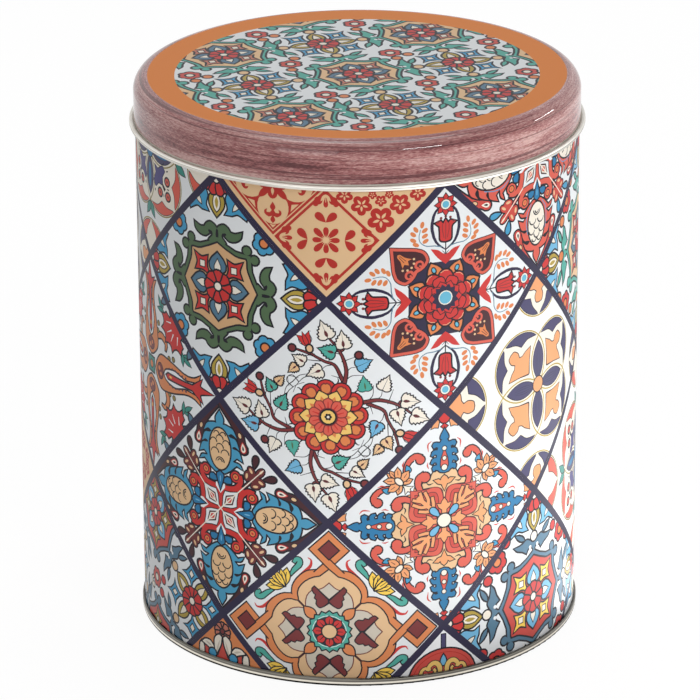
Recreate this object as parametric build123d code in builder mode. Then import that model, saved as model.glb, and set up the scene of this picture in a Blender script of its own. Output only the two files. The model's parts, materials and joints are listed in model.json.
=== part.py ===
"""Round slip-lid cookie tin in tinplate.

The tin is three pressed pieces: a wall rolled from one sheet and locked along a
side seam, a base joined to it by a double seam, and a lid drawn from one disc that
slips over the wall. Lengths are millimetres, +Z is up, and the origin is the centre
of the ring that the tin stands on. The side seam is at the back, on +Y.
"""

from build123d import *
import os
from math import acos, degrees, sqrt

# Tin ---------------------------------------------------------------------------
wall_radius = 78.0  # outside of the wall
tin_height = 200.0  # foot to lid top, closed
sheet = 0.25  # tinplate, in all three pieces

# Lid ---------------------------------------------------------------------------
lid_depth = 17.0  # lid top to the lowest edge of its curl
lid_play = 0.20  # skirt to wall, all round
shoulder_radius = 5.0  # outside, from lid top to skirt
lid_curl = 1.9  # diameter of the outward curl
seat_play = 0.30  # how far the mouth stays below its contact with the shoulder

# Mouth and curls ---------------------------------------------------------------
mouth_curl = 2.0  # diameter of the inward curl
curl_slit = 0.08  # cut edge of a curl to the sheet that it turns back to

# Double seam between wall and base ---------------------------------------------
seam_height = 3.0  # foot to the top of the seam
seam_slit = 0.05  # one layer to the next
foot_bend = 0.375  # mid-sheet radius of the foot's two corners
hook_play = 0.20  # end of each hook to the fold that holds it

# Base panel --------------------------------------------------------------------
base_recess = 3.2  # foot to the panel's underside, at its rim
panel_bend = 0.8  # mid-sheet radius of the panel's corners
panel_margin = 6.575  # chuck wall to the foot of the outer expansion step
ring_gap = 9.6  # flat ring between the two expansion steps
ring_rise = 0.9  # height of each expansion step
ring_run = 1.4  # width of each expansion step

# Side seam ---------------------------------------------------------------------
lock_fold = 3.2  # width of the four folded layers
lock_slit = 0.10  # one layer to the next
lock_bend = 0.3  # mid-sheet radius where the sheet steps inwards
lock_margin = 1.075  # flat sheet left on each side of the folds
lock_end = 1.2  # plain lap left at each end, clear of panel and mouth curl

# Levels and radii that follow --------------------------------------------------
half = sheet / 2
wall_mid = wall_radius - half

lid_radius = wall_radius + lid_play + sheet
lid_curl_radius = lid_radius - sheet + lid_curl / 2
lid_curl_level = tin_height - lid_depth + lid_curl / 2
shoulder_level = tin_height - shoulder_radius

mouth_radius = wall_radius - mouth_curl / 2
seat_reach = shoulder_radius - sheet - mouth_curl / 2
seat_level = shoulder_level + sqrt(seat_reach**2 - (seat_reach - lid_play) ** 2)
mouth_level = seat_level - seat_play

layer = sheet + seam_slit
body_fold_level = half + 2 * layer
cover_fold_level = seam_height - half - layer

chuck_mid = wall_mid - layer
seam_mid = wall_mid + 3 * layer
panel_level = base_recess + half
middle_level = panel_level + 2 * ring_rise
outer_ring_radius = chuck_mid - panel_margin
inner_ring_radius = outer_ring_radius - ring_run - ring_gap


def curl_turn(diameter):
    """Angle of a curl whose cut edge stops one slit short of its own sheet."""
    outer = diameter / 2
    return 360 - degrees(acos((outer - sheet - curl_slit) / outer))


# Wall: a rolled sheet, curled in at the mouth and hooked out at the foot ---------
lock_low = middle_level + half + lock_end
lock_high = mouth_level - mouth_curl / 2 - lock_end

lock_layer = sheet + lock_slit
fold_centre = lock_fold / 2 - lock_layer - half
step_place = lock_fold / 2 + lock_slit + half
lock_flat = 2 * (step_place + lock_bend + lock_margin)
lock_1 = sqrt(wall_radius**2 - (lock_flat / 2) ** 2) - half
lock_2 = lock_1 - lock_layer
lock_3 = lock_2 - lock_layer
lock_4 = lock_3 - lock_layer

with BuildPart() as body_wall:
    # Foot: plain wall that turns out and up into the body hook
    with BuildSketch(Plane.XZ) as foot_section:
        with BuildLine():
            foot_wall = Line((wall_mid, lock_low), (wall_mid, body_fold_level))
            fold = CenterArc((wall_mid + layer, body_fold_level), layer, 180, 180)
            Line(fold @ 1, (wall_mid + 2 * layer, cover_fold_level - hook_play))
        trace(line_width=sheet)
    revolve(axis=Axis.Z)

    # Mouth: plain wall that turns in and down into the curl
    with BuildSketch(Plane.XZ) as mouth_section:
        with BuildLine():
            mouth_wall = Line((wall_mid, lock_high), (wall_mid, mouth_level))
            CenterArc((mouth_radius, mouth_level), mouth_curl / 2 - half, 0, curl_turn(mouth_curl))
        trace(line_width=sheet)
    revolve(axis=Axis.Z)

    # Between them the sheet goes once round, and its hooked ends lock at the back
    with BuildSketch(Plane.XY.offset(lock_low)) as rolled_section:
        Circle(wall_radius)
        Circle(wall_radius - sheet, mode=Mode.SUBTRACT)
        with Locations((0, wall_radius)):
            Rectangle(lock_flat - sheet, 4 * sheet, mode=Mode.SUBTRACT)
        with BuildLine():
            left_hook = Line((-fold_centre + lock_slit, lock_3), (fold_centre, lock_3))
            left_fold = CenterArc((fold_centre, lock_2), lock_layer, -90, 180)
            Line(left_fold @ 1, (-lock_flat / 2 - sheet, lock_1))
        trace(line_width=sheet)
        with BuildLine():
            right_step = FilletPolyline(
                (lock_flat / 2 + sheet, lock_1),
                (step_place, lock_1),
                (step_place, lock_4),
                (-fold_centre, lock_4),
                radius=lock_bend,
            )
            right_fold = CenterArc((-fold_centre, lock_3), lock_layer, -90, -180)
            Line(right_fold @ 1, (fold_centre - lock_slit, lock_2))
        trace(line_width=sheet)
        with Locations((0, lock_1 + half)):
            Rectangle(
                2 * lock_flat, 4 * sheet, align=(Align.CENTER, Align.MIN), mode=Mode.SUBTRACT
            )
        Circle(wall_radius, mode=Mode.INTERSECT)
    extrude(amount=lock_high - lock_low)
body_wall.part.label = "body_wall"

# Base: a pressed panel whose rim goes round the wall's hook and into it ----------
with BuildPart() as base:
    with BuildSketch(Plane.XZ) as base_section:
        with BuildLine():
            panel = FilletPolyline(
                (0, middle_level),
                (inner_ring_radius - ring_run, middle_level),
                (inner_ring_radius, middle_level - ring_rise),
                (outer_ring_radius - ring_run, middle_level - ring_rise),
                (outer_ring_radius, panel_level),
                (chuck_mid, panel_level),
                (chuck_mid, half + foot_bend),
                radius=panel_bend,
            )
            inner_corner = CenterArc((chuck_mid + foot_bend, half + foot_bend), foot_bend, 180, 90)
            foot = Line(inner_corner @ 1, (seam_mid - foot_bend, half))
            outer_corner = CenterArc((seam_mid - foot_bend, half + foot_bend), foot_bend, -90, 90)
            seam_wall = Line(outer_corner @ 1, (seam_mid, cover_fold_level))
            cover_fold = CenterArc((wall_mid + 2 * layer, cover_fold_level), layer, 0, 180)
            Line(cover_fold @ 1, (wall_mid + layer, body_fold_level + hook_play))
        trace(line_width=sheet)
    revolve(axis=Axis.Z)
base.part.label = "base"

# Lid: a drawn disc with a round shoulder and an outward curl ---------------------
with BuildPart() as lid:
    with BuildSketch(Plane.XZ) as lid_section:
        with BuildLine():
            Line((0, tin_height - half), (lid_radius - shoulder_radius, tin_height - half))
            shoulder = CenterArc(
                (lid_radius - shoulder_radius, shoulder_level), shoulder_radius - half, 90, -90
            )
            Line(shoulder @ 1, (lid_radius - half, lid_curl_level))
            CenterArc(
                (lid_curl_radius, lid_curl_level), lid_curl / 2 - half, 180, curl_turn(lid_curl)
            )
        trace(line_width=sheet)
    revolve(axis=Axis.Z)
lid.part.label = "lid"

os.makedirs("parts", exist_ok=True)
export_step(body_wall.part, "parts/body_wall.step")
export_step(base.part, "parts/base.step")
export_step(lid.part, "parts/lid.step")
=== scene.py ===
"""Cookie tin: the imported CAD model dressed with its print, varnish and bare metal.

The print is drawn here as plane outlines, one drawing for each kind of tile, and laid
on the wall and the lid as thin sheets of ink that ride with them.
"""

import json
from functools import cache
from math import cos, pi, radians, sin, tau

import bpy
import numpy as np
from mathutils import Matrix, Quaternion, Vector
from mathutils.geometry import delaunay_2d_cdt

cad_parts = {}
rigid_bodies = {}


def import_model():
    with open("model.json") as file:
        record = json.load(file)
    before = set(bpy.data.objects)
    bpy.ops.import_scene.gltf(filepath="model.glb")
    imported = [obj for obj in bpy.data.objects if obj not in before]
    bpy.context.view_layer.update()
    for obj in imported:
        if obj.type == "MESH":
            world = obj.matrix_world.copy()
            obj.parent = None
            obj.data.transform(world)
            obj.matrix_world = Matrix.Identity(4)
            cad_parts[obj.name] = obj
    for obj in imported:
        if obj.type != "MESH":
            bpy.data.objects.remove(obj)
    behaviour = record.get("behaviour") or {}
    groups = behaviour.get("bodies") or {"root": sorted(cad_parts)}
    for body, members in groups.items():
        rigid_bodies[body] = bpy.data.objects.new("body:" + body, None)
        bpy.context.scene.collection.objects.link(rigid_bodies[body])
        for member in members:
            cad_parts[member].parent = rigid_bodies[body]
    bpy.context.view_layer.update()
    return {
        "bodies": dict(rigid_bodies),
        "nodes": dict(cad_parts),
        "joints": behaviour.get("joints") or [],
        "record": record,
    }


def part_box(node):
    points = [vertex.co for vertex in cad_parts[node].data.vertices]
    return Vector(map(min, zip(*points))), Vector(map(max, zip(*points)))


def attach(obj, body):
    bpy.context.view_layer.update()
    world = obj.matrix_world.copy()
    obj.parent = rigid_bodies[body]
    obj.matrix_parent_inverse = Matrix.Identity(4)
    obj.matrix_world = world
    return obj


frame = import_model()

WALL = 0.078  # radius of the wall outside
LID = 0.07845  # radius of the lid's skirt outside
INK = 0.00003  # the print on the lid stands this far off the metal
WALL_INK = 0.000045  # and on the wall
LID_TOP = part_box("lid")[1].z
SHOULDER = 0.005
SKIRT_FOOT = 0.1853  # lowest edge of the lid's print
PRINT_FOOT = 0.00275  # lowest and highest edge of the wall's print
PRINT_HEAD = 0.1945
SEAM_BARE = 2.4  # degrees left bare on each side of the side seam

# Drawing in the plane: every outline is an array of complex numbers -------------

DIAMOND = np.array([1, 1j, -1, -1j])
SQUARE = np.array([1+1j, -1+1j, -1-1j, 1-1j])


def bend(p, steps=10):
    """A smooth line through the points."""
    p = np.asarray(p, complex)
    if len(p) == 2:
        return p
    q = np.concatenate([[2 * p[0] - p[1]], p, [2 * p[-1] - p[-2]]])
    t = np.linspace(0, 1, steps, endpoint=False)
    out = []
    for a, b, c, d in zip(q, q[1:], q[2:], q[3:]):
        square = a - 2.5 * b + 2 * c - d / 2
        cube = 1.5 * (b - c) + (d - a) / 2
        out.append(b + (c - a) * t / 2 + square * t**2 + cube * t**3)
    return np.append(np.concatenate(out), p[-1])


def thin(line, tol=1.4):
    """The line with the points that it doesn't need left out."""
    if len(line) < 3:
        return line
    a, b = line[0], line[-1]
    d = b - a
    off = abs(line - a) if abs(d) < 1e-9 else abs(((line - a) * np.conj(d)).imag) / abs(d)
    k = int(off.argmax())
    if off[k] <= tol:
        return np.array([a, b])
    return np.concatenate([thin(line[: k + 1], tol)[:-1], thin(line[k:], tol)])


def form(*runs):
    """A closed outline of smooth runs that meet at corners: each starts where the last ended."""
    if len(runs) == 1:
        p = list(runs[0])
        line = bend(p[-2:] + p + p[:2])[20:-10]
        return thin(line)[:-1]
    out, start = [], runs[-1][-1]
    for run in runs:
        out.append(thin(bend([start] + list(run)))[:-1])
        start = run[-1]
    return np.concatenate(out)


def sym(*runs):
    """An outline mirrored in the x axis, from the runs of its upper side."""
    line, start = [runs[0][:1]], []
    for run in runs:
        if len(start + run) > 1:
            line.append(thin(bend(start + run))[1:])
        start = run[-1:]
    upper = np.concatenate(line)
    lower = np.conj(upper)[::-1]
    if abs(upper[-1].imag) < 1e-6:
        lower = lower[1:]
    if abs(upper[0].imag) < 1e-6:
        lower = lower[:-1]
    return np.concatenate([upper, lower])


def oval(c, a, b=None, turn=0):
    """An ellipse of half-axes a and b."""
    n = max(8, int(9 + 0.09 * a))
    t = tau * np.arange(n) / n
    return c + turned(a * np.cos(t) + 1j * (b or a) * np.sin(t), turn)


def drop(c, length, width, turn=0):
    """A teardrop from its point at c to its round end."""
    t = tau * np.arange(16) / 16
    shape = length * (1 - np.cos(t)) / 2 + 1.3j * width * np.sin(t) * np.sin(t / 2)
    return c + turned(shape, turn)


def leaf(c, length, width, turn=0, belly=0.45):
    """A leaf pointed at both ends."""
    x = np.array([0, belly / 2, belly, (1 + belly) / 2, 1]) * length
    return c + turned(sym(list(x + 1j * width * np.array([0, 0.8, 1, 0.7, 0]))), turn)


def stroke(points, start, end=None, mid=None):
    """A brush stroke along the points: its half-width goes from start by mid to end."""
    line = thin(bend(points), 1.6)
    end = start if end is None else end
    mid = (start + end) / 2 if mid is None else mid
    s = np.concatenate([[0], np.cumsum(abs(np.diff(line)))])
    s /= s[-1]
    w = start * (1 - s) * (1 - 2 * s) + 4 * mid * s * (1 - s) + end * s * (2 * s - 1)
    d = np.gradient(line)
    n = 1j * d / abs(d)
    return loop_free(np.concatenate([line + n * w, (line - n * w)[::-1]]))


def area(p):
    return 0.5 * float(np.sum(p.real * np.roll(p.imag, -1) - np.roll(p.real, -1) * p.imag))


def loop_free(p):
    """The outline with the small loops that an offset leaves at tight corners cut out."""
    for _ in range(60):
        n = len(p)
        if n < 5:
            return p
        r = np.roll(p, -1) - p
        d = p[None, :] - p[:, None]
        den = r.real[:, None] * r.imag[None, :] - r.imag[:, None] * r.real[None, :]
        den[abs(den) < 1e-9] = 1e-9
        t = (d.real * r.imag[None, :] - d.imag * r.real[None, :]) / den
        u = (d.real * r.imag[:, None] - d.imag * r.real[:, None]) / den
        hit = np.triu((t > 1e-9) & (t < 1 - 1e-9) & (u > 1e-9) & (u < 1 - 1e-9), 2)
        i, j = np.nonzero(hit)
        if not len(i):
            return p
        i, j = int(i[0]), int(j[0])
        x = [p[i] + t[i, j] * r[i]]
        if j - i < n - j + i:
            p = np.concatenate([p[: i + 1], x, p[j + 1 :]])
        else:
            p = np.concatenate([x, p[i + 1 : j + 1]])
    return p


def grown(p, d):
    """The outline moved outwards by d."""
    p = p if area(p) > 0 else p[::-1]
    e = np.roll(p, -1) - p
    e = e / np.maximum(abs(e), 1e-9)
    n = -1j * (np.roll(e, 1) + e)
    size = np.maximum(abs(n), 0.05)
    return loop_free(p + n / size * d * np.minimum(2 / size, 1.7))


def turned(shape, angle):
    return shape * np.exp(1j * np.radians(angle))


def flat(shapes):
    """The shapes in a list of shapes and lists."""
    lists = [flat(part) if isinstance(part, (list, tuple)) else [part] for part in shapes]
    return [shape for part in lists for shape in part]


def across(s):
    """The shape mirrored in the diagonal."""
    return 1j * np.conj(s)[::-1]


def both(*shapes):
    """Each shape and its mirror image in the x axis."""
    return [s for shape in flat(shapes) for s in (shape, np.conj(shape)[::-1])]


def around(*shapes, n=4, start=0):
    """The shapes n times round the middle."""
    return [turned(s, start + 360 * k / n) for k in range(n) for s in flat(shapes)]


def eight(*shapes, start=0):
    """Each shape and its mirror image on all four arms."""
    return around(both(*shapes), start=start)


def placed(shapes, at=0, angle=0, size=1):
    """The shapes turned, sized and moved."""
    return [at + size * turned(s, angle) for s in shapes]


class Art:
    """Shapes in the order in which they are printed, in thousandths of a tile's half diagonal."""

    bold = 1.35  # how much wider than drawn the outlines come out

    def __init__(self, width=11.5):
        self.width, self.shapes = width, []

    def fill(self, ink, *shapes):
        """Shapes without an outline."""
        self.shapes += [(ink, s if area(s) > 0 else s[::-1]) for s in flat(shapes)]

    def put(self, ink, *shapes, line="ink", width=None):
        """Shapes that each lie on an outline."""
        for s in flat(shapes):
            self.fill(line, grown(s, self.bold * (width or self.width)))
            self.fill(ink, s)

    def join(self, ink, *shapes, **outline):
        """Shapes that run together, with one outline round them all."""
        self.put(ink, *shapes, **outline)
        self.fill(ink, *shapes)

    def add(self, other, at=0, angle=0, size=1):
        inks, shapes = zip(*other.shapes)
        self.shapes += zip(inks, placed(shapes, at, angle, size))

    def moved(self, by):
        """All of it shifted by a little."""
        self.shapes = [(ink, s + by) for ink, s in self.shapes]
        return self


# Inks and tiles ----------------------------------------------------------------

INKS = {
    "ground": (230, 233, 235), "grid": (36, 30, 60), "ink": (15, 11, 24), "red": (200, 48, 46),
    "orange_red": (214, 92, 76), "orange": (218, 128, 74), "peach": (226, 188, 144),
    "cream": (238, 230, 216), "gold": (176, 152, 62), "green": (78, 104, 72),
    "slate": (80, 118, 142), "light_blue": (112, 178, 214), "blue": (66, 152, 194),
    "teal": (78, 168, 154), "maroon": (118, 44, 46), "dark_maroon": (64, 24, 32),
    "yellow": (246, 206, 84), "turquoise": (100, 180, 208), "beige": (204, 195, 180),
    "white": (236, 238, 240), "blue_deep": (36, 118, 166), "brick": (200, 72, 62),
    "orange_deep": (218, 134, 82), "navy": (66, 62, 100), "slate_dark": (48, 46, 78),
    "terracotta": (178, 42, 34), "teal_deep": (52, 138, 126), "gold_dark": (142, 126, 66),
    "violet": (72, 66, 124), "border": (222, 124, 20), "clay": (188, 112, 92),
    "brown": (106, 40, 42), "apricot": (232, 160, 108), "tan": (210, 168, 124),
    "straw": (238, 198, 112), "azure": (70, 150, 186),
}


def rosette(art, at, r, ink, eye, n=8, start=0):
    """A flower of blunt petals parted by dark lines."""
    petal = sym(
        [0.12 * r, 0.5 * r + 0.2j * r, 0.86 * r + 0.33j * r], [1.0 * r + 0.1j * r, 0.97 * r],
    )
    art.put(ink, placed(around(petal, n=n, start=start), at))
    art.put(eye, oval(at, 0.24 * r))


def scroll_frame(art, inks, sprouts, at=0, angle=0, size=1):
    """A curled frame round a flower of eight petals."""
    frame, field, star, petal, drop_ink = inks
    new = Art(width=12.5)
    ring = np.concatenate(around(np.array([440, 385+90j, 345+190j, 335+330j, 190+345j, 90+385j])))
    curls = both(form(
        [450+15j, 500+12j, 515], [545+30j, 560+75j, 540+115j, 505+140j], [500+190j, 525+255j],
        [470+240j, 435+190j, 430+130j, 460+85j], [480+100j, 490+85j],
        [480+55j, 445+50j, 400+90j, 385+60j], [400],
    ))
    if sprouts:
        sprout = form(
            [490+35j], [475+80j, 440+105j], [472+155j, 495+220j, 530+262j], [530+200j, 540+150j],
            [562+100j, 530+35j], [510-10j], [420-10j],
        )
        curls = both(sprout, leaf(568+130j, 140, 20, 58))
    shapes = [ring] + around(oval(372+300j, 38), oval(300+372j, 38)) + around(curls)
    new.join(frame, shapes)
    if sprouts:
        new.fill("ground", eight(oval(482+52j, 18)))
    side = bend([385, 335+100j, 295+200j, 290+285j])
    inner = np.concatenate(around(np.concatenate([side[:-1], across(side)[:-1]])))
    new.put(field, thin(np.append(inner, inner[0]))[:-1])
    pointed = form(
        [180+225j, 258+258j], [225+180j, 250+110j], [160+120j, 80+80j], [120+160j, 110+250j],
    )
    new.put(star, around(pointed))
    new.put("cream", around(form([145+195j], [195+195j], [195+145j], [145+145j])), width=7)
    new.put(petal, around(sym([110, 150+75j, 200+85j], [250+55j, 300])))
    new.put(drop_ink, around(sym([130, 155+30j, 185+30j], [210+15j, 240])), width=7)
    rosette(new, 0, 140, "red", "cream")
    art.add(new, at, angle, size)


def scroll_edge(art, inks, berries, at, angle=0, size=1):
    """A small flower, with berries beside it and cream curls."""
    ink, eye, dots, curls = inks
    new = Art()
    if dots:
        new.put(dots, [oval(z, 42) for z in berries])
    if curls:
        hook = [stroke([-100+50j, -155+60j, -185+15j, -165-20j], 8, 24), oval(-163-12j, 26)]
        new.join(curls, hook)
    r = 98
    new.join(ink, around(oval(0.62 * r, 0.42 * r), n=6, start=15))
    new.put(eye, oval(0, 0.36 * r))
    art.add(new, at, angle, size)


def scroll(frame, edge):
    """The curled frame with a small flower on each edge and a fan of petals at each corner."""
    art = Art()
    dots = edge[2]
    scroll_frame(art, frame, bool(dots))
    tulip = form(
        [840+120j, 790+100j, 710+120j, 655+90j], [660+160j, 680+220j, 640+300j],
        [700+310j, 760+240j], [830+200j, 860+140j],
    )
    art.put("light_blue" if dots else "blue", eight(tulip))
    art.put("cream", eight(drop(700+170j, 85, 20, 38)), width=7)
    art.put("gold", around(sym([620, 670+45j, 730+78j, 800+70j, 840])))
    art.put("cream", around(sym([665, 700+28j, 755+36j, 810+20j, 820])), width=7)
    art.fill("gold", around(sym([690, 720+14j, 760+18j, 800])))
    for turn in (-52, 52, -20, 20):
        art.put("red", around(950 + turned(sym([0, 70+30j], [125+34j, 145]), 180 + turn)))
    art.put("cream", around(oval(950, 30)))
    for k in range(4):
        scroll_edge(art, edge, (-150+100j, 150-100j), 462 * (1+1j) * 1j**k, 90 * k)
    if dots:
        art.put(dots if dots == "orange" else "cream", around(oval(570, 42)))
    return art


def scroll_flower(art, at, angle, size):
    """A red flower between four gold leaves and four blue stars."""
    new = Art(width=12.5)
    points = np.concatenate(around(np.array([95+95j, 45+62j, -45+62j])))
    new.put("blue", around(205+205j + points))
    new.put("cream", around(sym([250], [290+32j], [330]), start=45), width=9)
    new.put("gold", around(sym([80, 140+60j, 205+74j, 270+52j, 325], [360])))
    new.put("cream", around(sym([100, 165+30j, 210+27j, 280])), width=8)
    rosette(new, 0, 148, "red", "cream", n=10, start=18)
    art.add(new, at, angle, size)


def lattice(frame, edge, centre, angle, size, reach):
    """The scroll pattern without a tile's edges, as far as it is needed round the middle."""
    art = Art()
    spots = [m + n * 1j for m in range(-4, 5) for n in range(-4, 5)]
    spin = 1000 * size * np.exp(1j * radians(angle))
    for z in spots:
        at = centre + spin * z
        if abs(at) > reach:
            continue
        if (z.real + z.imag) % 2:
            scroll_flower(art, at, angle, size)
            continue
        scroll_frame(art, frame, True, at, angle, size)
        art.put("peach", placed(around(oval(600, 45)), at, angle, size), width=12.5 * size)
    # small flowers, on two sides of each frame
    edges = ((0.5+0.5j, (144-98j, 3-175j)), (0.5-0.5j, (90+152j, -45-172j)))
    for z in spots[::2]:
        for side, berries in edges:
            at = centre + spin * (z + side)
            if abs(at) <= reach:
                scroll_edge(art, edge, berries, at, angle, size)
    return art


def heart_leaf(c, length, turn=0, width=400):
    """A leaf with its stalk at c, two lobes there, notched sides and one tip."""
    shape = sym(
        [60, 20 + 0.45j * width, 100 + 0.92j * width, 220 + 1.08j * width],
        [270 + 0.88j * width, 400 + 0.98j * width], [440 + 0.74j * width, 580 + 0.76j * width],
        [600 + 0.52j * width, 720 + 0.5j * width], [760 + 0.28j * width, 1000],
    )
    return c + turned(shape * length / 1000, turn)


def wreath():
    """A many-petalled flower with four leafy vines, each the mirror image of the next."""
    art = Art()
    vine = Art()
    # thin stalks and tendrils
    for line in (
        [130+560j, 75+575j, 20+580j], [30+470j, -20+455j, -55+420j],
        [-130+550j, -180+540j, -200+490j], [-60+500j, -200+500j, -260+450j],
        [155+400j, 190+445j, 250+455j], [115+500j, 190+530j, 245+550j],
        [145+330j, 200+375j, 290+380j], [120+330j, 85+360j, 30+375j],
        [-250+300j, -300+355j, -345+335j, -335+250j], [-110+365j, -200+345j, -270+270j, -300+200j],
        [-300+300j, -240+360j, -130+385j],
    ):
        vine.fill("ink", stroke(line, 4.5, 2))
    trunk = stroke([137+300j, 155+420j, 125+540j, 75+630j, 10+710j], 13, 3, 8.5)
    branch = stroke([125+330j, 60+465j, -30+500j, -130+555j, -165+600j], 11, 4, 7)
    twig = stroke([-120+550j, -200+575j, -300+600j], 7, 3)
    side = stroke([85+600j, 120+600j, 145+630j], 7, 3)
    vine.put("maroon", twig, side, branch, trunk, width=6)
    # berries and a tulip
    vine.put("maroon", oval(-305+600j, 27))
    tulip_at, tulip_turn = -155+595j, 112
    vine.fill("ink", placed(
        both(stroke([30, 80+55j, 155+50j, 150+75j], 4, 2)), tulip_at, tulip_turn,
    ))
    petals = [
        form([30+8j, 70+38j, 150+55j], [120+12j, 30]),
        form([30-8j, 70-38j, 150-55j][::-1], [30], [120-12j, 150-55j]),
    ]
    vine.put("red", placed(petals + [leaf(20, 145, 17)], tulip_at, tulip_turn), width=5)
    vine.put("peach", oval(tulip_at + 10j, 24, 30, 10))
    # leaves: stalk end, length, direction, the ink on each of the four vines, marked or not
    leaves = [
        (5+700j, 175, 112, ("cream",) * 4, "brown"),
        (135+615j, 165, 97, ("cream", "cream", "cream", "light_blue"), "brown"),
        (65+575j, 155, 165, ("teal", "cream", "cream", "cream"), "brown"),
        (240+455j, 145, 25, ("light_blue", "cream", "light_blue", "cream"), None),
        (-195+475j, 125, 150, ("cream", "peach", "cream", "teal"), "brown"),
        (-45+425j, 150, 205, ("cream", "light_blue", "teal", "teal"), "brown"),
        (-265+445j, 100, 222, ("peach",) * 4, "brown"),
    ]
    flip = [lambda s: s, across, lambda s: -s, lambda s: -across(s)]
    for k, way in enumerate(flip):
        art.shapes += [(ink, way(s)) for ink, s in vine.shapes]
        for at, length, turn, inks, mark in leaves:
            art.put(inks[k], way(heart_leaf(at, 0.97 * length, turn)), width=8.5)
            if mark:
                art.fill(mark, way(leaf(
                    at + turned(0.08 * length, turn), 0.42 * length, 0.085 * length, turn,
                )))
            art.fill("ink", way(stroke([at, at + turned(0.85 * length, turn)], 2.5, 1)))
        if k in (0, 3):
            art.put("maroon", way(oval(260+560j, 27)))
    for way in flip[::2]:
        art.put("teal", way(heart_leaf(315+235j, 140, 98)), width=6)
        art.fill("green", way(leaf(315+250j, 70, 8, 98)))
    # the flower
    art.fill("ink", around(stroke([300, 345, 360+12j], 9, 3), n=12, start=15))
    art.put("red", around(oval(252, 79), n=12, start=94), width=9)
    petal = sym([213, 222+26j, 250+38j, 280+34j, 296+14j, 290])
    art.put("orange", around(petal, n=12, start=94), line="maroon", width=9)
    art.fill("red", oval(0, 190))
    yellow = sym([100, 150+45j, 185+55j, 215+30j], [242])
    art.put("straw", around(yellow, n=10, start=72), width=8)
    art.fill("orange", around(sym([100, 150+20j, 195]), n=10, start=72))
    art.put(
        "orange_red", around(sym([40, 100+32j, 145+34j, 168]), n=10, start=90), line="maroon",
        width=7,
    )
    art.fill("red", around(stroke([80, 140], 7, 3), n=10, start=90))
    art.fill("maroon", oval(0, 85))
    art.put("straw", oval(0, 60))
    art.fill("ink", around(oval(22, 11), n=6))
    art.fill("ink", oval(0, 26))
    art.fill("cream", oval(0, 12))
    return art.moved(8-28j)


def hearts():
    """Four hearts round a rosette, with a pod and a tulip on each arm."""
    art = Art()
    # pods and their tulips
    loop = stroke([425, 500+85j, 620+122j, 740+105j, 810+55j], 4, 8, 14)
    art.fill("grid", eight(loop))
    art.fill("ink", around(stroke([360, 520], 5)))
    art.fill("ink", eight(stroke([375, 400+12j, 420+30j], 4, 2)))
    tulip = form(
        [500, 515+45j, 580+50j, 635+55j], [665+92j], [680+45j], [655+22j], [692], [655-22j],
        [680-45j], [665-92j], [635-55j, 580-50j, 515-45j, 500],
    )
    art.put("red", around(tulip))
    art.fill("maroon", around(stroke([515, 670], 3), both(stroke([530+15j, 600+30j, 655+30j], 3))))
    for a in (-62, -31, 0, 31, 62):
        art.fill("maroon", around(635 + turned(oval(82, 12.5), a)))
    art.put("red", around(placed(around(sym([30, 55+24j, 95]), n=8), 822)), width=6)
    art.fill("red", around(oval(822, 55)))
    art.put("cream", around(oval(822, 43)), width=5)
    art.fill("turquoise", around(oval(822, 31)))
    # sprigs
    art.fill("slate", eight(stroke(
        [455+30j, 470+100j, 475+170j, 510+222j, 560+235j, 625+222j], 5, 3,
    )))
    for at, turn in (
        (665+207j, -10), (628+262j, 35), (615+185j, -55), (566+184j, -60), (520+178j, -60),
        (588+285j, 50), (535+285j, 60), (495+262j, 65),
    ):
        art.fill("orange", eight(oval(at, 30, 18, turn)))
    # middle square and its petals
    art.fill("grid", 325 * SQUARE)
    art.put("orange", around(sym([200, 235+55j, 265+60j, 300+40j], [340]), n=8, start=22.5))
    art.fill("ink", around(oval(272, 35, 24), n=8, start=22.5))
    art.fill("turquoise", around(oval(275, 22, 14), n=8, start=22.5))
    # V leaves
    art.fill("red", around(sym([300, 335+45j, 375+85j, 445+135j], [430+70j, 400+30j, 385])))
    # hearts
    heart = sym([352, 337+50j, 337+100j, 360+150j, 430+172j, 500+148j, 580+85j, 682])
    inside = grown(heart, -24)
    art.put("orange_red", around(heart, start=45), width=6)
    art.fill("dark_maroon", around(inside, start=45))
    curl = stroke([370, 365+30j, 400+28j, 418+60j, 400+90j, 370+88j, 362+60j, 384+56j], 12.5, 8)
    art.fill("orange_red", eight(curl, start=45))
    bell = sym([455], [488+22j], [475+55j], [530+25j, 575+18j, 590])
    art.fill("orange", around(bell, start=45))
    art.fill("dark_maroon", eight(stroke([570+6j, 500+11j], 2.5), start=45))
    for a in (-60, -30, 0, 30, 60):
        art.fill("peach", around(500 + turned(oval(78, 10.5), 180 + a), start=45))
    # rosette
    art.put("red", around(oval(155, 95, 68), n=10, start=18))
    art.fill("peach", around(stroke([225+45j, 243+10j, 240-25j], 3, 2), n=10, start=18))
    art.fill("maroon", around(sym([120, 165+45j, 190+30j, 200]), n=10))
    art.put("red", around(sym([50, 140+50j, 185+40j, 195]), n=8, start=22.5), width=7)
    art.fill("maroon", oval(0, 140))
    art.put("red", around(sym([50, 100+45j, 150]), n=10), width=5)
    art.fill("grid", around(sym([30, 80+30j, 125]), n=12, start=15))
    art.fill("cream", oval(0, 64))
    art.fill("turquoise", oval(0, 55))
    return art.moved(10-12j)


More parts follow.
